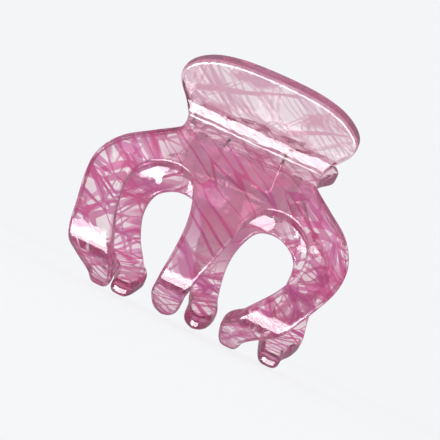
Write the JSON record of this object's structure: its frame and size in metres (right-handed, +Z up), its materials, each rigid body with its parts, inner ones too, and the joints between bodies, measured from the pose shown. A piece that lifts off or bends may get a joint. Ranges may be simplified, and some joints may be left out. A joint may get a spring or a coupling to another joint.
{
  "type": "claw clip",
  "caption": "Sprung claw clip for hair: two bent acetate jaws with broad handles and fingers that interleave when closed.",
  "frame": {"origin": "middle of the closed clip, at the level of the finger tips", "axes": "+Z up from the finger tips to the handles, X along the hinge pin, front jaw on the -Y side"},
  "size_m": [0.0661, 0.05, 0.0643],
  "materials": {
    "acetate_sheet": "glossy, translucent pink with darker veins",
    "acetate_lug": "glossy, translucent pale pink",
    "pin_steel": "satin",
    "spring_steel": "satin"
  },
  "bodies": {
    "front": {"front_jaw": "acetate_sheet", "front_lug_left": "acetate_lug", "front_lug_right": "acetate_lug", "hinge_pin": "pin_steel", "pin_cap": "pin_steel", "torsion_spring": "spring_steel"},
    "back": {"back_jaw": "acetate_sheet", "back_lug_left": "acetate_lug", "back_lug_right": "acetate_lug"}
  },
  "joints": [
    {"name": "jaw_hinge", "type": "hinge", "parent": "front", "child": "back", "pos_m": [0, 0, 0.0388], "axis": [1, 0, 0], "range_deg": [0, 45], "stiffness_Nm_per_rad": 0.25, "springref_deg": -28.65, "deforming": ["torsion_spring"]}
  ]
}
